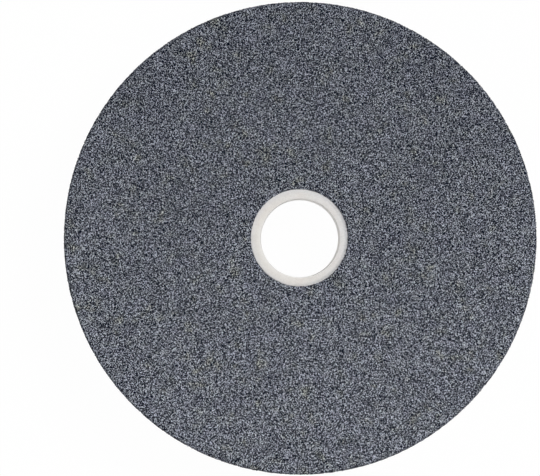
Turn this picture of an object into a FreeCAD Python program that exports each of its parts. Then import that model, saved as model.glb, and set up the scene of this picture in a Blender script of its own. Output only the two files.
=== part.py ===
import FreeCAD, Part
import os
import Sketcher

# Straight bench grinding wheel that lies flat on one side face.
# The wheel's axis is +Z, the origin is the centre of the lower face, and lengths are in millimetres.

doc = FreeCAD.newDocument("grinding_wheel")
sizes = doc.addObject("Spreadsheet::Sheet", "sizes")

# Every driving size of the wheel, one to a row.
driving_sizes = [
    # The grit body: a standard bench wheel, 6 inches across and 3/4 inch wide.
    ("wheel_diameter", 152.4),
    ("wheel_width", 19.05),
    # The moulded edge between tread and side is slightly broken.
    ("wheel_edge_bevel", 0.6),
    # The hole for the spindle, 1 inch across.
    ("spindle_hole_diameter", 25.4),
    ("spindle_hole_lead_in", 0.15),
    # The bush is moulded to the wall of the wheel's core hole, with no clearance.
    ("bush_wall", 3.0),
    ("bush_to_core_clearance", 0.0),
    # The bush ends a little below both sides, so that the flanges clamp on grit alone.
    ("bush_recess", 0.3),
    ("bush_outer_rounding", 0.5),
]
for row, (name, value) in enumerate(driving_sizes, start=1):
    sizes.set("A%d" % row, name)
    sizes.set("B%d" % row, "%g mm" % value)
    sizes.setAlias("B%d" % row, name)

# The radii of the turned faces follow from the sizes above.
following_sizes = [
    ("tread_radius", "=wheel_diameter / 2"),
    ("spindle_hole_radius", "=spindle_hole_diameter / 2"),
    ("bush_outer_radius", "=spindle_hole_radius + bush_wall"),
    ("core_hole_radius", "=bush_outer_radius + bush_to_core_clearance"),
]
for row, (name, formula) in enumerate(following_sizes, start=len(driving_sizes) + 1):
    sizes.set("A%d" % row, name)
    sizes.set("B%d" % row, formula)
    sizes.setAlias("B%d" % row, name)
doc.recompute()


def origin_plane(body, role):
    """Return the body's own origin plane that has this role."""
    for feature in body.Origin.OriginFeatures:
        if feature.Role == role:
            return feature
    raise RuntimeError("no plane " + role)


def ring_section(body, sketch_name, inner_radius, outer_radius, bottom, top):
    """Draw the section of a turned ring on the XZ plane, each side held by an expression."""
    sketch = body.newObject("Sketcher::SketchObject", sketch_name)
    sketch.AttachmentSupport = [(origin_plane(body, "XZ_Plane"), "")]
    sketch.MapMode = "FlatFace"
    left, right, low, high = [
        sketch.evalExpression(size).Value
        for size in (inner_radius, outer_radius, bottom, top)
    ]
    corners = [(left, low), (right, low), (right, high), (left, high)]
    for start, end in zip(corners, corners[1:] + corners[:1]):
        line = Part.LineSegment(FreeCAD.Vector(*start, 0), FreeCAD.Vector(*end, 0))
        sketch.addGeometry(line, False)
    # Lines 0 to 3 run along the bottom, the outside, the top and the inside.
    for line in range(4):
        sketch.addConstraint(Sketcher.Constraint("Coincident", line, 2, (line + 1) % 4, 1))
    sketch.addConstraint(Sketcher.Constraint("Horizontal", 0))
    sketch.addConstraint(Sketcher.Constraint("Horizontal", 2))
    sketch.addConstraint(Sketcher.Constraint("Vertical", 1))
    sketch.addConstraint(Sketcher.Constraint("Vertical", 3))
    # Line 0 starts at the inner lower corner, line 2 at the outer upper one.
    held = [
        ("DistanceX", 0, left, "inner_radius", inner_radius),
        ("DistanceY", 0, low, "bottom", bottom),
        ("DistanceX", 2, right, "outer_radius", outer_radius),
        ("DistanceY", 2, high, "top", top),
    ]
    for kind, line, drawn, label, expression in held:
        index = sketch.addConstraint(Sketcher.Constraint(kind, -1, 1, line, 1, drawn))
        sketch.renameConstraint(index, label)
        sketch.setExpression("Constraints." + label, expression)
    return sketch


def turned(body, name, sketch):
    """Turn a section once round the vertical axis of its sketch."""
    ring = body.newObject("PartDesign::Revolution", name)
    ring.Profile = sketch
    ring.ReferenceAxis = (sketch, ["V_Axis"])
    ring.Angle = 360.0
    doc.recompute()
    return ring


def circles_of_radius(shape, radius):
    """Name the round edges of a shape that have this radius."""
    rounding_error = 1e-6
    names = []
    for number, edge in enumerate(shape.Edges, start=1):
        if edge.Closed and hasattr(edge.Curve, "Radius"):
            if abs(edge.Curve.Radius - radius) < rounding_error:
                names.append("Edge%d" % number)
    return names


# The grit body: a plain ring with the core hole through it.
wheel = doc.addObject("PartDesign::Body", "abrasive_wheel")
wheel.Label = "abrasive_wheel"
wheel_section = ring_section(
    wheel,
    "wheel_section",
    "sizes.core_hole_radius",
    "sizes.tread_radius",
    "0 mm",
    "sizes.wheel_width",
)
wheel_ring = turned(wheel, "wheel_ring", wheel_section)

# The two outer rims are bevelled where the tread meets the sides.
wheel_bevel = wheel.newObject("PartDesign::Chamfer", "wheel_bevel")
wheel_bevel.Base = (
    wheel_ring,
    circles_of_radius(wheel_ring.Shape, sizes.tread_radius.Value),
)
wheel_bevel.setExpression("Size", "sizes.wheel_edge_bevel")
doc.recompute()

# The bush: a plastic sleeve in the core hole, a little shorter than the wheel is wide.
bush = doc.addObject("PartDesign::Body", "bore_bush")
bush.Label = "bore_bush"
bush_section = ring_section(
    bush,
    "bush_section",
    "sizes.spindle_hole_radius",
    "sizes.bush_outer_radius",
    "sizes.bush_recess",
    "sizes.wheel_width - sizes.bush_recess",
)
bush_ring = turned(bush, "bush_ring", bush_section)

# Both mouths of the spindle hole have a lead-in.
bush_lead_in = bush.newObject("PartDesign::Chamfer", "bush_lead_in")
bush_lead_in.Base = (
    bush_ring,
    circles_of_radius(bush_ring.Shape, sizes.spindle_hole_radius.Value),
)
bush_lead_in.setExpression("Size", "sizes.spindle_hole_lead_in")
doc.recompute()

# The plastic shrinks back round the outside of both ends, where it meets the grit.
bush_rounding = bush.newObject("PartDesign::Fillet", "bush_rounding")
bush_rounding.Base = (
    bush_lead_in,
    circles_of_radius(bush_lead_in.Shape, sizes.bush_outer_radius.Value),
)
bush_rounding.setExpression("Radius", "sizes.bush_outer_rounding")

doc.recompute()
for item in doc.Objects:
    if "Invalid" in item.State or "Error" in item.State:
        raise RuntimeError("%s did not build: %s" % (item.Name, item.State))

os.makedirs("parts", exist_ok=True)
for body in (wheel, bush):
    if body.Shape.isNull() or not body.Shape.isValid():
        raise RuntimeError(body.Label + " has no sound solid")
    body.Shape.exportStep("parts/%s.step" % body.Label)
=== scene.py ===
import math

import bpy
import numpy as np
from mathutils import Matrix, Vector
from mathutils.geometry import delaunay_2d_cdt


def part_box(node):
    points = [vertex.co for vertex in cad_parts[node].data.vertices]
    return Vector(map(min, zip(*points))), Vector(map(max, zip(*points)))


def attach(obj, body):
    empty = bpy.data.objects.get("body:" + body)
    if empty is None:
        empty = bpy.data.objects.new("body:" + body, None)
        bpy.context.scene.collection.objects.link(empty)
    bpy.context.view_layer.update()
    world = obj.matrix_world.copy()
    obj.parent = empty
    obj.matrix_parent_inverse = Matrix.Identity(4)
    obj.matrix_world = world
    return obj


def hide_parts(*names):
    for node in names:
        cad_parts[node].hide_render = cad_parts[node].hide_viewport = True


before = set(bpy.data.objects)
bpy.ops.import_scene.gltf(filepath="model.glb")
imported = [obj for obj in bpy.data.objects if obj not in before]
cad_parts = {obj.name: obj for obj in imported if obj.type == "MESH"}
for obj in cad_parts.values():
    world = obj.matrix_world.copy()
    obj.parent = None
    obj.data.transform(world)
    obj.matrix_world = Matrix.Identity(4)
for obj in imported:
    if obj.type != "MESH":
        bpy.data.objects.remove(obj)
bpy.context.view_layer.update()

# The grit body is one pressed and fired disc of blue-grey aluminium-oxide grit in a glassy bond.
# Its skin is uneven and open: the bond lies a little below the tops of the grains, with small
# pores in it, and the rims are slightly broken where the tread meets the sides.
MM = 0.001
wheel_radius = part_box("abrasive_wheel")[1].x
wheel_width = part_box("abrasive_wheel")[1].z
core_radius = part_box("bore_bush")[1].x
rim_bevel = 0.6 * MM
core_wall_end = 0.95 * MM

# How far apart the points of the skin lie on each face.
upper_spacing = 0.60 * MM
lower_spacing = 0.92 * MM
tread_spacing = 0.88 * MM
core_spacing = 0.36 * MM

# How deep the bond lies below the tops of the grains, and how much of its edges has broken away.
bond_depth = 0.15 * MM
bond_unevenness = 0.06 * MM
pore_share = 0.18
pore_depth = 0.30 * MM
shallowest_pore = 0.3
broken_edge = 0.16 * MM

# The grit's border round the hole lies a little to one side of the bush, here up and to the left.
border_raggedness = 0.14 * MM
border_shift = 0.39 * MM
border_direction = math.radians(150.0)
border_fill = 0.24 * MM

body_random = np.random.default_rng(20261)
skin_points = []
skin_faces = []


def bond_depths(count):
    """How deep each point of the bond lies: mostly shallow, with a pore here and there."""
    depth = bond_depth + bond_unevenness * body_random.uniform(-1.0, 1.0, count)
    pores = body_random.random(count) < pore_share
    return depth + pores * pore_depth * body_random.uniform(shallowest_pore, 1.0, count)


def add_points(points):
    """Add points to the skin and return their numbers."""
    first = sum(len(block) for block in skin_points)
    skin_points.append(points)
    return np.arange(first, first + len(points))


def add_ring(spacing, radii, heights, turn):
    """Add a ring of points round the axis, of uneven radius, height and spacing."""
    radii_sampled = 8
    play = 0.22
    mean_radius = float(np.mean(radii(radii_sampled)))
    count = round(2 * math.pi * mean_radius / spacing)
    shift = body_random.uniform(-play, play, count)
    angle = (np.arange(count) + turn + shift) * 2 * math.pi / count
    radius = radii(count)
    height = heights(count)
    points = np.column_stack((radius * np.cos(angle), radius * np.sin(angle), height))
    return add_points(points)


def stitch(first_ring, second_ring):
    """Join two rings with triangles that face left of the way from the first to the second."""
    points = np.vstack(skin_points)
    angles = []
    for numbers in (first_ring, second_ring):
        angle = np.arctan2(points[numbers, 1], points[numbers, 0]) % (2 * math.pi)
        angles.append(angle)
    start = [int(np.argmin(angle)) for angle in angles]
    rings = [np.roll(numbers, -s) for numbers, s in zip((first_ring, second_ring), start)]
    turned = [np.roll(angle, -s) for angle, s in zip(angles, start)]
    turned = [np.append(angle, angle[0] + 2 * math.pi) for angle in turned]
    i = j = 0
    while i < len(rings[0]) or j < len(rings[1]):
        a = int(rings[0][i % len(rings[0])])
        b = int(rings[1][j % len(rings[1])])
        at_first_end = i == len(rings[0])
        at_second_end = j == len(rings[1])
        if at_second_end or (not at_first_end and turned[0][i + 1] <= turned[1][j + 1]):
            i += 1
            skin_faces.append((a, b, int(rings[0][i % len(rings[0])])))
        else:
            j += 1
            skin_faces.append((b, int(rings[1][j % len(rings[1])]), a))


def outside_of(corners, places):
    """Which places lie outside a ring of corners that goes once round the origin."""
    angle = np.arctan2(corners[:, 1], corners[:, 0]) % (2 * math.pi)
    corners = corners[np.argsort(angle)]
    angle = np.sort(angle)
    at = np.arctan2(places[:, 1], places[:, 0]) % (2 * math.pi)
    after = np.searchsorted(angle, at) % len(angle)
    start = corners[after - 1]
    along = corners[after] - start
    away = places - start
    return along[:, 0] * away[:, 1] - along[:, 1] * away[:, 0] < 0


def fill_side(outer_ring, inner_ring, spacing, height_of):
    """Fill one side of the wheel, from the core hole out to the rim, with uneven triangles."""
    step = spacing * math.sqrt(3) / 2
    rows = np.arange(-wheel_radius, wheel_radius, step)
    columns = np.arange(-wheel_radius, wheel_radius, spacing)
    x, y = np.meshgrid(columns, rows)
    x[1::2] += spacing / 2
    shift = 0.30 * spacing
    x = x + body_random.uniform(-shift, shift, x.shape)
    y = y + body_random.uniform(-shift, shift, y.shape)
    radius = np.hypot(x, y)
    clear = 0.75 * spacing
    kept = (radius > core_radius + clear) & (radius < wheel_radius - rim_bevel - clear)
    inside = np.column_stack((x[kept], y[kept]))
    new = add_points(np.column_stack((inside, height_of(len(inside)))))
    points = np.vstack(skin_points)
    numbers = np.concatenate((outer_ring, inner_ring, new))
    flat = points[numbers, :2] / MM
    edges = []
    for first, count in ((0, len(outer_ring)), (len(outer_ring), len(inner_ring))):
        edges += [(first + i, first + (i + 1) % count) for i in range(count)]
    made = delaunay_2d_cdt([Vector(place) for place in flat], edges, [], 0, 1e-6, True)
    source = np.array([ids[0] for ids in made[3]])
    faces = source[np.array(made[2])]
    middle = flat[faces].mean(axis=1)
    inner_corners = flat[len(outer_ring) : len(outer_ring) + len(inner_ring)]
    kept = outside_of(inner_corners, middle) & ~outside_of(flat[: len(outer_ring)], middle)
    faces = faces[kept]
    a, b, c = flat[faces[:, 0]], flat[faces[:, 1]], flat[faces[:, 2]]
    turn = (b - a)[:, 0] * (c - a)[:, 1] - (b - a)[:, 1] * (c - a)[:, 0]
    upward = points[outer_ring[0], 2] > wheel_width / 2
    wrong = (turn > 0) != upward
    faces[wrong] = faces[wrong][:, ::-1]
    skin_faces.extend(map(tuple, numbers[faces].tolist()))


def upper(count):
    """Heights of the bond on the upper side."""
    return wheel_width - bond_depths(count)


def lower(count):
    """Heights of the bond on the lower side."""
    return bond_depths(count)


def tread(count):
    """Radii of the bond on the tread."""
    return wheel_radius - bond_depths(count)


def grit_border(angle):
    """Where the grit ends round the hole: grains are missing from the border on one side, and on
    the other side they lie a little over the bush's rounded edge."""
    return core_radius + np.minimum(border_fill, border_shift * np.cos(angle - border_direction))


def core_edge(count):
    """Radii of the ragged border round the hole."""
    angle = np.arange(count) * 2 * math.pi / count
    return grit_border(angle) + body_random.uniform(-border_raggedness, border_raggedness, count)


def rim_edge(count):
    """Radii of the broken rim, where a side meets its bevel."""
    return wheel_radius - rim_bevel - broken_edge * body_random.random(count)


def core_wall(count):
    """Radii of the wall that the bush fills."""
    return np.full(count, core_radius)


def level(height, unevenness=0.0):
    """Heights round one level, which stay within the wheel's width."""
    return lambda count: height + unevenness * body_random.uniform(-1.0, 1.0, count)


upper_core_level = level(wheel_width - bond_depth, bond_unevenness)
upper_wall = add_ring(core_spacing, core_wall, level(wheel_width - core_wall_end), 0.0)
upper_core = add_ring(core_spacing, core_edge, upper_core_level, 0.5)
upper_rim = add_ring(upper_spacing, rim_edge, upper, 0.0)
tread_width = wheel_width - 2 * rim_bevel
tread_rows = round(tread_width / tread_spacing)
rim_play = 0.10 * tread_spacing
tread_play = 0.30 * tread_spacing
tread_rings = []
for row in range(tread_rows + 1):
    height = wheel_width - rim_bevel - tread_width * row / tread_rows
    unevenness = rim_play if row in (0, tread_rows) else tread_play
    tread_rings.append(add_ring(tread_spacing, tread, level(height, unevenness), row % 2 / 2))
lower_rim = add_ring(lower_spacing, rim_edge, lower, 0.0)
lower_core = add_ring(core_spacing, core_edge, level(bond_depth, bond_unevenness), 0.5)
lower_wall = add_ring(core_spacing, core_wall, level(core_wall_end), 0.0)

stitch(upper_wall, upper_core)
fill_side(upper_rim, upper_core, upper_spacing, upper)
stitch(upper_rim, tread_rings[0])
for above, below in zip(tread_rings, tread_rings[1:]):
    stitch(above, below)
stitch(tread_rings[-1], lower_rim)
fill_side(lower_rim, lower_core, lower_spacing, lower)
stitch(lower_core, lower_wall)
stitch(lower_wall, upper_wall)


def new_piece(name, points, faces, smooth):
    """Make a mesh object at the origin from points and faces."""
    mesh = bpy.data.meshes.new(name)
    mesh.from_pydata(points.tolist(), [], faces)
    mesh.polygons.foreach_set("use_smooth", np.full(len(mesh.polygons), smooth))
    mesh.update()
    piece = bpy.data.objects.new(name, mesh)
    bpy.context.scene.collection.objects.link(piece)
    return piece


def join(tree, *links):
    """Link sockets of a node tree, given as pairs of output and input."""
    for source, target in links:
        tree.links.new(source, target)


def ramp(tree, stops):
    """A colour ramp with these stops of place and colour."""
    node = tree.nodes.new("ShaderNodeValToRGB")
    elements = node.color_ramp.elements
    while len(elements) < len(stops):
        elements.new(0.5)
    for element, (place, colour) in zip(elements, stops):
        element.position = place
        element.color = (*colour, 1.0)
    return node


def scaled(tree, source, low, high, to_low, to_high):
    """Map a value from one range to another, held at both ends."""
    node = tree.nodes.new("ShaderNodeMapRange")
    node.inputs["From Min"].default_value = low
    node.inputs["From Max"].default_value = high
    node.inputs["To Min"].default_value = to_low
    node.inputs["To Max"].default_value = to_high
    tree.links.new(source, node.inputs["Value"])
    return node.outputs["Result"]


def calculated(tree, operation, first, second):
    """A calculation with two values, each a socket or a number."""
    node = tree.nodes.new("ShaderNodeMath")
    node.operation = operation
    for value, socket in zip((first, second), node.inputs):
        if isinstance(value, (int, float)):
            socket.default_value = value
        else:
            tree.links.new(value, socket)
    return node.outputs["Value"]


def blended(tree, kind, factor, first, second):
    """Mix two colours, each a socket or a colour."""
    node = tree.nodes.new("ShaderNodeMix")
    node.data_type = "RGBA"
    node.blend_type = kind
    sockets = (node.inputs["Factor"], node.inputs[6], node.inputs[7])
    for value, socket in zip((factor, first, second), sockets):
        if isinstance(value, (int, float)):
            socket.default_value = value
        elif isinstance(value, tuple):
            socket.default_value = (*value, 1.0)
        else:
            tree.links.new(value, socket)
    return node.outputs[2]


def noise(tree, place, scale, detail):
    """Soft cloudy variation at a scale in cells to the metre."""
    node = tree.nodes.new("ShaderNodeTexNoise")
    node.inputs["Scale"].default_value = scale
    node.inputs["Detail"].default_value = detail
    tree.links.new(place, node.inputs["Vector"])
    return node.outputs["Fac"]


def toward(tree, place, direction):
    """How far a place lies in one direction."""
    node = tree.nodes.new("ShaderNodeVectorMath")
    node.operation = "DOT_PRODUCT"
    node.inputs[1].default_value = direction
    tree.links.new(place, node.inputs[0])
    return node.outputs["Value"]


def distance_from_axis(tree, place):
    """How far a place lies from the wheel's axis."""
    apart = tree.nodes.new("ShaderNodeSeparateXYZ")
    flat = tree.nodes.new("ShaderNodeCombineXYZ")
    reach = tree.nodes.new("ShaderNodeVectorMath")
    reach.operation = "LENGTH"
    join(
        tree,
        (place, apart.inputs["Vector"]),
        (apart.outputs["X"], flat.inputs["X"]),
        (apart.outputs["Y"], flat.inputs["Y"]),
        (flat.outputs["Vector"], reach.inputs[0]),
    )
    return reach.outputs["Value"]


def grains(tree, place, scale):
    """Cells the size of grit, at a scale in cells to the metre."""
    node = tree.nodes.new("ShaderNodeTexVoronoi")
    node.feature = "F1"
    node.inputs["Scale"].default_value = scale
    tree.links.new(place, node.inputs["Vector"])
    return node


def painted_rim_shade_mask(tree, place):
    """How much painted shade darkens the rims: 0 away from them and 1 at their edge."""
    inner_limit = wheel_radius - 0.9 * MM
    outer_limit = wheel_radius - 0.4 * MM
    low_limit = wheel_width / 2 - 1.0 * MM
    high_limit = wheel_width / 2 - 0.5 * MM
    from_axis = distance_from_axis(tree, place)
    far_out = scaled(tree, from_axis, inner_limit, outer_limit, 0.0, 1.0)
    height = toward(tree, place, (0.0, 0.0, 1.0))
    from_middle = calculated(tree, "SUBTRACT", height, wheel_width / 2)
    from_middle = calculated(tree, "ABSOLUTE", from_middle, 0.0)
    near_side = scaled(tree, from_middle, low_limit, high_limit, 0.0, 1.0)
    return calculated(tree, "MULTIPLY", far_out, near_side)


def bonded_grit(name, standing):
    """Blue-grey grit in a bluish glassy bond: grains of many tones, with dark joints and pits.

    A standing grain carries its own tone. The bond between them takes its tones from cells of the
    same size as the grains.
    """
    cells_a_metre = 4500.0
    pits_a_metre = 1880.0
    joint_tone = 0.40 if standing else 0.06
    pit_tone = 0.45 if standing else 0.0
    # Painted shade: the tone that the rims are painted down to.
    painted_rim_shade_tone = 0.60
    own_share = 0.9

    material = bpy.data.materials.new(name)
    material.use_nodes = True
    tree = material.node_tree
    shader = tree.nodes["Principled BSDF"]
    place = tree.nodes.new("ShaderNodeTexCoord").outputs["Object"]

    cells = grains(tree, place, cells_a_metre)
    parts = tree.nodes.new("ShaderNodeSeparateColor")
    tree.links.new(cells.outputs["Color"], parts.inputs["Color"])
    tone = parts.outputs["Red"]
    if standing:
        carried = tree.nodes.new("ShaderNodeAttribute")
        carried.attribute_name = "grain_tone"
        own = calculated(tree, "MULTIPLY", carried.outputs["Fac"], own_share)
        rest = calculated(tree, "MULTIPLY", tone, 1.0 - own_share)
        tone = calculated(tree, "ADD", own, rest)
    tones = ramp(
        tree,
        (
            (0.00, (0.010, 0.011, 0.012)),
            (0.26, (0.114, 0.121, 0.138)),
            (0.50, (0.370, 0.395, 0.446)),
            (0.75, (0.695, 0.740, 0.836)),
            (1.00, (0.800, 0.845, 0.940)),
        ),
    )
    tree.links.new(tone, tones.inputs["Fac"])

    # Each grain is rounded off towards dark joints, and pits lie between the grains.
    rounded = scaled(tree, cells.outputs["Distance"], 0.31, 0.67, 1.0, joint_tone)
    pits = grains(tree, place, pits_a_metre).outputs["Distance"]
    pit_shade = scaled(tree, pits, 0.41, 0.49, pit_tone, 1.0)
    # Painted shade: the rims' edges are painted darker.
    painted_rim_shade = scaled(tree, painted_rim_shade_mask(tree, place), 0.0, 1.0, 1.0, painted_rim_shade_tone)
    shade = calculated(tree, "MULTIPLY", rounded, pit_shade)
    shade = calculated(tree, "MULTIPLY", shade, painted_rim_shade)

    # The mix isn't quite even: small clusters and soft clouds. Painted light: a slow change across
    # the disc paints it brighter on one side and darker on the other.
    clusters = scaled(tree, noise(tree, place, 420.0, 3.0), 0.30, 0.70, 0.93, 1.07)
    across_disc = toward(tree, place, (0.10, 0.98, 0.0))
    # Painted light: the disc is painted brighter towards -y and darker towards +y.
    painted_light_and_cloud = scaled(tree, across_disc, -0.060, 0.060, 1.16, 0.85)
    cloud = scaled(tree, noise(tree, place, 21.0, 1.0), 0.30, 0.70, 0.96, 1.04)
    painted_light_and_cloud = calculated(tree, "MULTIPLY", painted_light_and_cloud, cloud)
    uneven = calculated(tree, "MULTIPLY", clusters, painted_light_and_cloud)
    shown = calculated(tree, "MULTIPLY", shade, uneven)

    # Patches of the grit lean a little to violet, green or yellow.
    patches = noise(tree, place, 240.0, 2.0)
    tints = ramp(
        tree,
        (
            (0.34, (0.986, 0.978, 1.018)),
            (0.50, (1.0, 1.0, 1.0)),
            (0.62, (1.010, 1.015, 0.982)),
            (0.74, (1.080, 1.050, 0.860)),
        ),
    )
    tree.links.new(patches, tints.inputs["Fac"])
    tinted = blended(tree, "MULTIPLY", 1.0, tones.outputs["Color"], tints.outputs["Color"])
    shaded = tree.nodes.new("ShaderNodeVectorMath")
    shaded.operation = "SCALE"
    glassy = tree.nodes.new("ShaderNodeVectorMath")
    glassy.operation = "ADD"
    glassy.inputs[1].default_value = (0.0, 0.002, 0.010)
    join(
        tree,
        (tinted, shaded.inputs[0]),
        (shown, shaded.inputs["Scale"]),
        (shaded.outputs["Vector"], glassy.inputs[0]),
        (glassy.outputs["Vector"], shader.inputs["Base Color"]),
    )

    roughness = scaled(tree, parts.outputs["Green"], 0.0, 1.0, 0.38, 0.95)
    gloss = scaled(tree, shade, 0.05, 0.95, 0.0, 0.42)
    join(
        tree,
        (roughness, shader.inputs["Roughness"]),
        (gloss, shader.inputs["Specular IOR Level"]),
    )

    # Every grain stands at its own height, with rounded edges and sunken pits.
    lift = calculated(tree, "MULTIPLY", parts.outputs["Blue"], 0.5)
    height = calculated(tree, "ADD", calculated(tree, "MULTIPLY", rounded, 0.7), lift)
    height = calculated(tree, "ADD", height, pit_shade)
    relief = tree.nodes.new("ShaderNodeBump")
    relief.inputs["Strength"].default_value = 0.55
    relief.inputs["Distance"].default_value = 0.08 * MM
    join(
        tree,
        (height, relief.inputs["Height"]),
        (relief.outputs["Normal"], shader.inputs["Normal"]),
    )
    return material


grit_body = new_piece("grit_body", np.vstack(skin_points), skin_faces, True)
grit_body.data.materials.append(bonded_grit("bonded_grit", False))
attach(grit_body, "root")
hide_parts("abrasive_wheel")


# The larger grains stand out of the bond all over the skin, each a broken crystal with flat facets.
# They are part of the same pressed mix, and their tops lie in the wheel's true faces.
grain_random = np.random.default_rng(20262)
smallest_grain = 0.20 * MM
largest_grain = 0.34 * MM
grain_root = 0.38 * MM
grain_top_unevenness = 0.20 * MM
corners_to_a_grain = 6

# How unevenly they broke. Small grains are more common than large ones.
small_grain_bias = 1.6
stretch_limit = 0.28
twist_limit = 0.45
shortest_corner = 0.62
longest_corner = 0.92
root_widening = 1.15
shallowest_root = 0.75
tone_shape = (0.55, 0.53)


def grain_spots(width, length, spacing):
    """Irregularly spread spots over a flat field, from its lower left corner."""
    step = spacing * math.sqrt(3) / 2
    x, y = np.meshgrid(np.arange(0, width, spacing), np.arange(0, length, step))
    x[1::2] += spacing / 2
    shift = 0.34 * spacing
    x = x + grain_random.uniform(-shift, shift, x.shape)
    y = y + grain_random.uniform(-shift, shift, y.shape)
    return x.ravel(), y.ravel()


def crystals(name, spots, outward, across, map_places, root_places):
    """Broken crystals with three-cornered tops, each sunk by its root into the bond."""
    count = len(spots)
    upward = np.cross(outward, across)
    share = grain_random.random(count) ** small_grain_bias
    size = smallest_grain + (largest_grain - smallest_grain) * share
    turn = grain_random.uniform(0.0, 2 * math.pi, count)
    stretch = grain_random.uniform(1.0 - stretch_limit, 1.0 + stretch_limit, count)
    corners = np.empty((count, corners_to_a_grain, 3))
    spread = np.empty((count, corners_to_a_grain, 2))
    for corner in range(corners_to_a_grain):
        on_top = corner < 3
        angle = turn + (corner % 3 + (0.0 if on_top else 0.5)) * 2 * math.pi / 3
        angle = angle + grain_random.uniform(-twist_limit, twist_limit, count)
        reach = size * grain_random.uniform(shortest_corner, longest_corner, count)
        if not on_top:
            reach = reach * root_widening
        a = reach * np.cos(angle) * stretch
        b = reach * np.sin(angle) / stretch
        if on_top:
            depth = grain_top_unevenness * grain_random.random(count)
        else:
            depth = grain_root * grain_random.uniform(shallowest_root, 1.0, count)
        spread[:, corner] = np.column_stack((a, b))
        corners[:, corner] = (
            spots + across * a[:, None] + upward * b[:, None] - outward * depth[:, None]
        )

    # No corner stands out of the wheel's own outline.
    reach = np.hypot(corners[..., 0], corners[..., 1])
    corners[..., :2] *= np.minimum(1.0, wheel_radius / reach)[..., None]
    corners[..., 2] = np.clip(corners[..., 2], 0.0, wheel_width)

    # Each grain is closed: its top, its root, and two triangles to each side.
    sides = [(0, 1, 2), (5, 4, 3)]
    for corner in range(3):
        after = (corner + 1) % 3
        sides.append((corner, 3 + corner, after))
        sides.append((3 + corner, 3 + after, after))
    sides = np.array(sides)
    faces = (sides[None] + corners_to_a_grain * np.arange(count)[:, None, None]).reshape(-1, 3)
    piece = new_piece(name, corners.reshape(-1, 3), faces.tolist(), False)

    # Most grains are nearly dark or nearly bright, and fewer lie between.
    tone = grain_random.beta(*tone_shape, count)
    carried = piece.data.attributes.new("grain_tone", "FLOAT", "FACE")
    carried.data.foreach_set("value", np.repeat(tone, len(sides)))
    places = map_places(spread)[:, sides]
    places[:, 1] = root_places(spread)[:, sides[1]]
    layer = piece.data.uv_layers.new(name="OFBake")
    layer.uv.foreach_set("vector", places.reshape(-1).astype(np.float32))
    piece.data.materials.append(standing_grit)
    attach(piece, "root")
    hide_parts("abrasive_wheel")


standing_grit = bonded_grit("standing_grit", True)

# Each side's grains lie on their map as a plan of the side, and their hidden roots as a small one.
side_map_half = 0.498
root_map_half = 0.070
clear_of_bush = 0.04 * MM
clear_of_rim = rim_bevel + 0.25 * MM
for name, spacing, height, way in (
    ("upper_side_grains", 0.92 * MM, wheel_width, 1.0),
    ("lower_side_grains", 1.12 * MM, 0.0, -1.0),
):
    x, y = grain_spots(2 * wheel_radius, 2 * wheel_radius, spacing)
    x = x - wheel_radius
    y = y - wheel_radius
    radius = np.hypot(x, y)
    border = grit_border(np.arctan2(y, x))
    kept = (radius > border + clear_of_bush) & (radius < wheel_radius - clear_of_rim)
    x, y = x[kept], y[kept]
    spots = np.column_stack((x, y, np.full(len(x), height)))
    outward = np.tile((0.0, 0.0, way), (len(x), 1))
    across = np.tile((1.0, 0.0, 0.0), (len(x), 1))

    def disc_places(spread, half=side_map_half, centre=0.5, x=x, y=y, way=way):
        """Where each corner lies on the map: a plan of the side, or of its roots."""
        flat = spread * np.array((1.0, way)) + np.column_stack((x, y))[:, None]
        return centre + flat / wheel_radius * half

    def root_disc(spread, places=disc_places):
        """The roots lie as a small plan in the map's lower left corner."""
        return places(spread, root_map_half, root_map_half)

    crystals(name, spots, outward, across, disc_places, root_disc)

# The tread's grains, and those of the two broken rims, follow the wheel's outline in section.
outline = np.array(
    (
        (wheel_radius - rim_bevel, wheel_width),
        (wheel_radius, wheel_width - rim_bevel),
        (wheel_radius, rim_bevel),
        (wheel_radius - rim_bevel, 0.0),
    )
)
runs = np.hypot(*np.diff(outline, axis=0).T)
along_outline = np.concatenate(((0.0,), np.cumsum(runs)))
round_way = 2 * math.pi * wheel_radius
tread_grain_spacing = 0.95 * MM
clear_of_side = 0.1 * MM
around, along = grain_spots(round_way, along_outline[-1], tread_grain_spacing)
kept = (along > clear_of_side) & (along < along_outline[-1] - clear_of_side)
kept &= around < round_way
around, along = around[kept], along[kept]
angle = around / wheel_radius
run = np.clip(np.searchsorted(along_outline, along) - 1, 0, 2)
share = (along - along_outline[run]) / runs[run]
section = outline[run] + (outline[run + 1] - outline[run]) * share[:, None]
slant = math.sqrt(0.5)
lean = np.array(((slant, slant), (1.0, 0.0), (slant, -slant)))
spots = np.column_stack(
    (section[:, 0] * np.cos(angle), section[:, 0] * np.sin(angle), section[:, 1])
)
outward = np.column_stack(
    (lean[run, 0] * np.cos(angle), lean[run, 0] * np.sin(angle), lean[run, 1])
)
across = np.column_stack((-np.sin(angle), np.cos(angle), np.zeros(len(angle))))

# On their map the tread's grains lie unrolled in five rows, with their roots in a strip above them.
map_rows = 5
row_length = round_way / map_rows
row_of = np.clip((around / row_length).astype(int), 0, map_rows - 1)
row_height = 0.185
row_start = 0.005
row_scale = 0.99 / row_length
row_fill = 0.97
root_strip_start = 0.01
root_strip_length = 0.98
root_strip_low = 0.935
root_strip_height = 0.05


def strip_places(spread):
    """Where each corner lies on the map: the tread unrolled in rows."""
    u = (around - row_of * row_length)[:, None] + spread[:, :, 0]
    v = along[:, None] - spread[:, :, 1]
    high = 0.5 * row_height + (v / along_outline[-1] - 0.5) * row_height * row_fill
    return np.stack((row_start + u * row_scale, high + row_of[:, None] * row_height), axis=-1)


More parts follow.
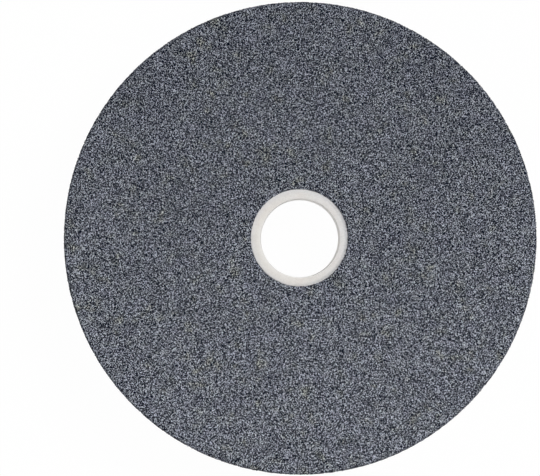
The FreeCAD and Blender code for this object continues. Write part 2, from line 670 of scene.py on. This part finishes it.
def root_strip(spread):
    """The hidden roots share one low strip at the top of the map."""
    u = (around[:, None] + spread[:, :, 0]) / round_way
    v = (along[:, None] - spread[:, :, 1]) / along_outline[-1]
    places = (root_strip_start + u * root_strip_length, root_strip_low + v * root_strip_height)
    return np.stack(places, axis=-1)


crystals("tread_grains", spots, outward, across, strip_places, root_strip)


# The bush is a white plastic sleeve moulded into the core hole, so its outside fills the grit's
# wall. Both of its ends lie a little below the sides, rounded outside, with a lead-in at the
# spindle hole.
bush_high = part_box("bore_bush")[1]
spindle_radius = 12.7 * MM
lead_in = 0.15 * MM
outer_rounding = 0.5 * MM
edge_break = 0.05 * MM
plain_run = 0.25 * MM
bush_steps = 384
bush_random = np.random.default_rng(20263)


def broken_corner(before, corner, after, size, steps=3):
    """Points that round a corner of the section off."""
    before, corner, after = (np.array(point) for point in (before, corner, after))
    start = corner + (before - corner) / np.linalg.norm(before - corner) * size
    end = corner + (after - corner) / np.linalg.norm(after - corner) * size
    way = np.linspace(0.0, 1.0, steps + 1)[:, None]
    return (1 - way) ** 2 * start + 2 * way * (1 - way) * corner + way**2 * end


end_height = bush_high.z
wall_top = (spindle_radius, end_height - lead_in)
face_inner = (spindle_radius + lead_in, end_height)
face_outer = (core_radius - outer_rounding, end_height)
wall_end = end_height - lead_in - outer_rounding
section = [np.linspace((spindle_radius, wheel_width / 2), (spindle_radius, wall_end), 7)]
section.append(broken_corner((spindle_radius, 0.0), wall_top, face_inner, edge_break))
section.append(broken_corner(wall_top, face_inner, face_outer, edge_break))
face_start = (face_inner[0] + plain_run, end_height)
face_end = (face_outer[0] - plain_run, end_height)
section.append(np.linspace(face_start, face_end, 7))
quarter = np.linspace(0.0, math.pi / 2, 8)
section.append(
    np.column_stack(
        (
            core_radius - outer_rounding + outer_rounding * np.sin(quarter),
            end_height - outer_rounding + outer_rounding * np.cos(quarter),
        )
    )
)
section.append(np.linspace((core_radius, wall_end), (core_radius, wheel_width / 2), 4))
upper_half = np.vstack(section)
lower_half = upper_half[1:-1][::-1] * (1, -1) + (0, wheel_width)
section = np.vstack((upper_half, lower_half))
bush_angles = np.arange(bush_steps) * 2 * math.pi / bush_steps
radius = np.tile(section[:, 0], (bush_steps, 1))
height = np.tile(section[:, 1], (bush_steps, 1))

# The moulded ends have sunk in a little, unevenly, and the plastic stops short of the grit here
# and there round the outside.
sink_depth = 0.035 * MM
ragged_depth = 0.22 * MM
waves = np.zeros(bush_steps)
for count in (2, 3, 5, 9, 14, 23):
    phase = bush_random.uniform(0.0, 2 * math.pi)
    waves += np.cos(count * bush_angles + phase) / count**0.5
waves = (waves - waves.min()) / (waves.max() - waves.min())
end_depth = end_height - wheel_width / 2 - np.abs(section[:, 1] - wheel_width / 2)
on_end = np.clip(1 - end_depth / outer_rounding, 0, 1)
inward = np.sign(wheel_width / 2 - section[:, 1])
height += inward * on_end * sink_depth * waves[:, None]
near_grit = np.clip(1 - (core_radius - section[:, 0]) / outer_rounding, 0, 1) * on_end
ragged = bush_random.random(bush_steps) ** 2
ragged = (ragged + np.roll(ragged, 1) + np.roll(ragged, -1)) / 3
height += inward * near_grit * ragged_depth * ragged[:, None]

# Where grains are missing from the hole's border, the plastic fills their place, and its edge is
# sharper there.
least_rounding = 0.30
least_filled = 0.8
filled_unevenness = 0.6
toward_border = np.cos(bush_angles - border_direction)
share_covered = np.clip(0.5 - 0.8 * toward_border, 0.0, 1.0)
rounding_kept = (least_rounding + (1.0 - least_rounding) * share_covered)[:, None]
corner_reach = 1.01 * outer_rounding
corner_height = np.where(section[:, 1] > wheel_width / 2, end_height, wheel_width - end_height)
on_corner = (section[:, 0] > core_radius - corner_reach) & (end_depth < corner_reach)
radius = np.where(on_corner, core_radius + (radius - core_radius) * rounding_kept, radius)
height = np.where(on_corner, corner_height + (height - corner_height) * rounding_kept, height)
filled = border_fill * np.clip(toward_border, 0.0, 1.0)
filled *= least_filled + filled_unevenness * ragged
radius += on_corner * filled[:, None]
bush_points = np.stack(
    (
        radius * np.cos(bush_angles)[:, None],
        radius * np.sin(bush_angles)[:, None],
        height,
    ),
    axis=-1,
).reshape(-1, 3)
bush_faces = []
across_count = len(section)
for step in range(bush_steps):
    after = (step + 1) % bush_steps
    for k in range(across_count):
        next_k = (k + 1) % across_count
        bush_faces.append(
            (
                step * across_count + k,
                step * across_count + next_k,
                after * across_count + next_k,
                after * across_count + k,
            )
        )


def moulded_plastic():
    """Off-white plastic with a faint mottle and a few specks.

    On one side it is a little warmer, and painted lighter round the hole: a painted glow of lamp
    light through the plastic. On the other it is cooler, and darker near the wheel in patches.
    """
    warm_tint = (1.012, 1.0, 0.975)
    cool_tint = (0.988, 1.0, 1.025)
    plain_tint = (1.0, 1.0, 1.0)
    border_tint = (0.985, 1.0, 1.040)
    # Painted light: colours for the lighter glow round the hole and for the lighter hole's wall.
    painted_glow_colour = (0.82, 0.805, 0.78)
    painted_light_wall_colour = (0.90, 0.885, 0.86)
    darker_wall_colour = (0.60, 0.585, 0.56)
    dust_and_darkening_colour = (0.20, 0.205, 0.225)
    warm_side = (-0.96, -0.29, 0.0)
    darker_side = (0.966, -0.259, 0.0)
    side_reach = 14.8 * MM
    border_starts = 14.2 * MM
    border_full = 15.6 * MM
    painted_glow_ends = 14.3 * MM
    darkening_starts = core_radius - 1.6 * MM
    darkening_full = core_radius - 0.75 * MM

    material = bpy.data.materials.new("white_plastic")
    material.use_nodes = True
    tree = material.node_tree
    shader = tree.nodes["Principled BSDF"]
    place = tree.nodes.new("ShaderNodeTexCoord").outputs["Object"]
    from_axis = distance_from_axis(tree, place)

    # The mottle is soft clouds with a fine grain in them. Its tint changes slowly, and it is cooler
    # on one side and by the grit.
    cloudy = noise(tree, place, 520.0, 3.0)
    tones = ramp(
        tree,
        (
            (0.30, (0.665, 0.643, 0.617)),
            (0.52, (0.715, 0.694, 0.668)),
            (0.72, (0.745, 0.726, 0.701)),
        ),
    )
    specks = noise(tree, place, 3300.0, 1.0)
    fine = calculated(tree, "MULTIPLY", calculated(tree, "SUBTRACT", specks, 0.5), 2.0)
    tree.links.new(calculated(tree, "ADD", cloudy, fine), tones.inputs["Fac"])
    flow = ramp(
        tree,
        (
            (0.35, (1.016, 0.997, 0.989)),
            (0.50, (1.0, 1.0, 1.0)),
            (0.65, (0.996, 1.005, 1.009)),
        ),
    )
    tree.links.new(noise(tree, place, 130.0, 2.0), flow.inputs["Fac"])
    plastic = blended(tree, "MULTIPLY", 1.0, tones.outputs["Color"], flow.outputs["Color"])
    on_warm_side = toward(tree, place, warm_side)
    warmth = scaled(tree, on_warm_side, -side_reach, side_reach, 0.0, 1.0)
    tint = blended(tree, "MIX", warmth, cool_tint, warm_tint)
    plastic = blended(tree, "MULTIPLY", 1.0, plastic, tint)
    by_border = scaled(tree, from_axis, border_starts, border_full, 0.0, 1.0)
    tint = blended(tree, "MIX", by_border, plain_tint, border_tint)
    plastic = blended(tree, "MULTIPLY", 1.0, plastic, tint)

    # Painted light: on one side the face is painted lighter round the hole, a glow of lamp light
    # shining through the plastic. The hole's wall and lead-in are painted lighter than the face,
    # also painted light, and darker on that side.
    glow_side = scaled(tree, on_warm_side, 0.3 * spindle_radius, spindle_radius, 0.0, 1.0)
    painted_glow = scaled(tree, from_axis, spindle_radius, painted_glow_ends, 0.8, 0.0)
    painted_glow = calculated(tree, "MULTIPLY", glow_side, painted_glow)
    plastic = blended(tree, "MIX", painted_glow, plastic, painted_glow_colour)
    wall_colour = blended(tree, "MIX", glow_side, painted_light_wall_colour, darker_wall_colour)
    wall_ends = spindle_radius + lead_in
    wall_fade = 0.05 * MM
    on_wall = scaled(tree, from_axis, wall_ends - wall_fade, wall_ends + wall_fade, 1.0, 0.0)
    # Painted light: the hole's wall and lead-in take the lighter wall colour.
    plastic = blended(tree, "MIX", on_wall, plastic, wall_colour)

    # It is darker near the wheel in patches, mostly on the other side, with a few specks all over.
    speck_dirt = scaled(tree, specks, 0.62, 0.72, 0.0, 0.16)
    near_wheel = scaled(tree, from_axis, darkening_starts, darkening_full, 0.0, 0.9)
    on_darker_side = toward(tree, place, darker_side)
    darker_side_share = scaled(tree, on_darker_side, 0.0, side_reach, 0.10, 1.0)
    near_wheel = calculated(tree, "MULTIPLY", near_wheel, darker_side_share)
    darker_patches = calculated(tree, "MULTIPLY", near_wheel, noise(tree, place, 1500.0, 2.0))
    specks_and_darkening = calculated(tree, "ADD", darker_patches, speck_dirt)
    darkened_plastic = blended(tree, "MIX", specks_and_darkening, plastic, dust_and_darkening_colour)
    tree.links.new(darkened_plastic, shader.inputs["Base Color"])
    tree.links.new(scaled(tree, cloudy, 0.3, 0.7, 0.42, 0.60), shader.inputs["Roughness"])

    relief = tree.nodes.new("ShaderNodeBump")
    relief.inputs["Strength"].default_value = 0.35
    relief.inputs["Distance"].default_value = 0.05 * MM
    texture = calculated(tree, "ADD", cloudy, calculated(tree, "MULTIPLY", specks, 0.4))
    join(
        tree,
        (texture, relief.inputs["Height"]),
        (relief.outputs["Normal"], shader.inputs["Normal"]),
    )
    return material


bush = new_piece("bush_sleeve", bush_points, bush_faces, True)
bush.data.materials.append(moulded_plastic())
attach(bush, "root")
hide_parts("bore_bush")


# The wheel lies on a plain white table, wide enough for a low view across it. Its white is shown
# to the camera, and it keeps the wheel's soft shadow.
table_half = 6.0
white_share = 0.98
table_points = np.array(
    [(x * table_half, y * table_half, 0.0) for x, y in ((-1, -1), (1, -1), (1, 1), (-1, 1))]
)
table = new_piece("white_table", table_points, [(0, 1, 2, 3)], False)
table_material = bpy.data.materials.new("table_white")
table_material.use_nodes = True
tree = table_material.node_tree
tree.nodes.remove(tree.nodes["Principled BSDF"])
paper = tree.nodes.new("ShaderNodeBsdfDiffuse")
paper.inputs["Color"].default_value = (0.86, 0.86, 0.86, 1.0)
glow = tree.nodes.new("ShaderNodeEmission")
glow.inputs["Strength"].default_value = 1.0
seen = tree.nodes.new("ShaderNodeLightPath")
glossy_or_clear = calculated(
    tree, "MAXIMUM", seen.outputs["Is Glossy Ray"], seen.outputs["Is Transmission Ray"]
)
shown = calculated(tree, "MAXIMUM", seen.outputs["Is Camera Ray"], glossy_or_clear)
mixed = tree.nodes.new("ShaderNodeMixShader")
join(
    tree,
    (calculated(tree, "MULTIPLY", shown, white_share), mixed.inputs["Fac"]),
    (paper.outputs["BSDF"], mixed.inputs[1]),
    (glow.outputs["Emission"], mixed.inputs[2]),
    (mixed.outputs["Shader"], tree.nodes["Material Output"].inputs["Surface"]),
)
table.data.materials.append(table_material)

# The room gives soft light from all round, and it is white where the camera sees past the table.
# Three square lamps stand in it: the main one high to the upper right, and two weak ones.
world = bpy.data.worlds.new("room")
bpy.context.scene.world = world
world.use_nodes = True
tree = world.node_tree
room_light = tree.nodes["Background"]
room_light.inputs["Strength"].default_value = 0.33
white = tree.nodes.new("ShaderNodeBackground")
white.inputs["Strength"].default_value = 1.0
white.inputs["Color"].default_value = (1.0, 1.0, 1.0, 1.0)
room_light.inputs["Color"].default_value = (1.0, 1.0, 1.0, 1.0)
seen = tree.nodes.new("ShaderNodeLightPath")
shown = calculated(
    tree, "MAXIMUM", seen.outputs["Is Camera Ray"], seen.outputs["Is Transmission Ray"]
)
mixed = tree.nodes.new("ShaderNodeMixShader")
join(
    tree,
    (shown, mixed.inputs["Fac"]),
    (room_light.outputs["Background"], mixed.inputs[1]),
    (white.outputs["Background"], mixed.inputs[2]),
    (mixed.outputs["Shader"], tree.nodes["World Output"].inputs["Surface"]),
)


def softbox(name, place, aim, size, power):
    """A square lamp that faces a point of the wheel."""
    light = bpy.data.lights.new(name, "AREA")
    light.shape = "SQUARE"
    light.size = size
    light.energy = power
    lamp = bpy.data.objects.new(name, light)
    lamp.location = place
    lamp.rotation_euler = (Vector(aim) - Vector(place)).to_track_quat("-Z", "Y").to_euler()
    bpy.context.scene.collection.objects.link(lamp)


softbox("main_lamp", (2.30, 1.50, 2.30), (0.0, 0.0, 0.02), 1.8, 102.0)
softbox("fill_lamp", (-0.35, -0.50, 0.70), (-0.03, -0.03, 0.02), 0.5, 0.9)
softbox("overhead_lamp", (0.0, 0.0, 1.30), (0.0, 0.0, 0.02), 0.8, 2.0)

# The camera looks straight down on the wheel, with the middle of its view a little to the left of
# the wheel's axis. Its lens is shifted, so it stands a little lower in the picture than the axis.
camera_height = 0.75
view_width = 173.65 * MM
view_centre = (-9.72 * MM, 0.10 * MM)
foot_below = 6.40 * MM
sensor_width = 36.0
far_limit = 50.0
camera_data = bpy.data.cameras.new("camera")
camera_data.sensor_width = sensor_width
camera_data.lens = sensor_width * camera_height / view_width
camera_data.clip_end = far_limit
camera = bpy.data.objects.new("camera", camera_data)
camera.location = (view_centre[0], view_centre[1] - foot_below, wheel_width + camera_height)
camera_data.shift_y = foot_below / view_width
bpy.context.scene.collection.objects.link(camera)
bpy.context.scene.camera = camera
bpy.context.scene.view_settings.view_transform = "Standard"
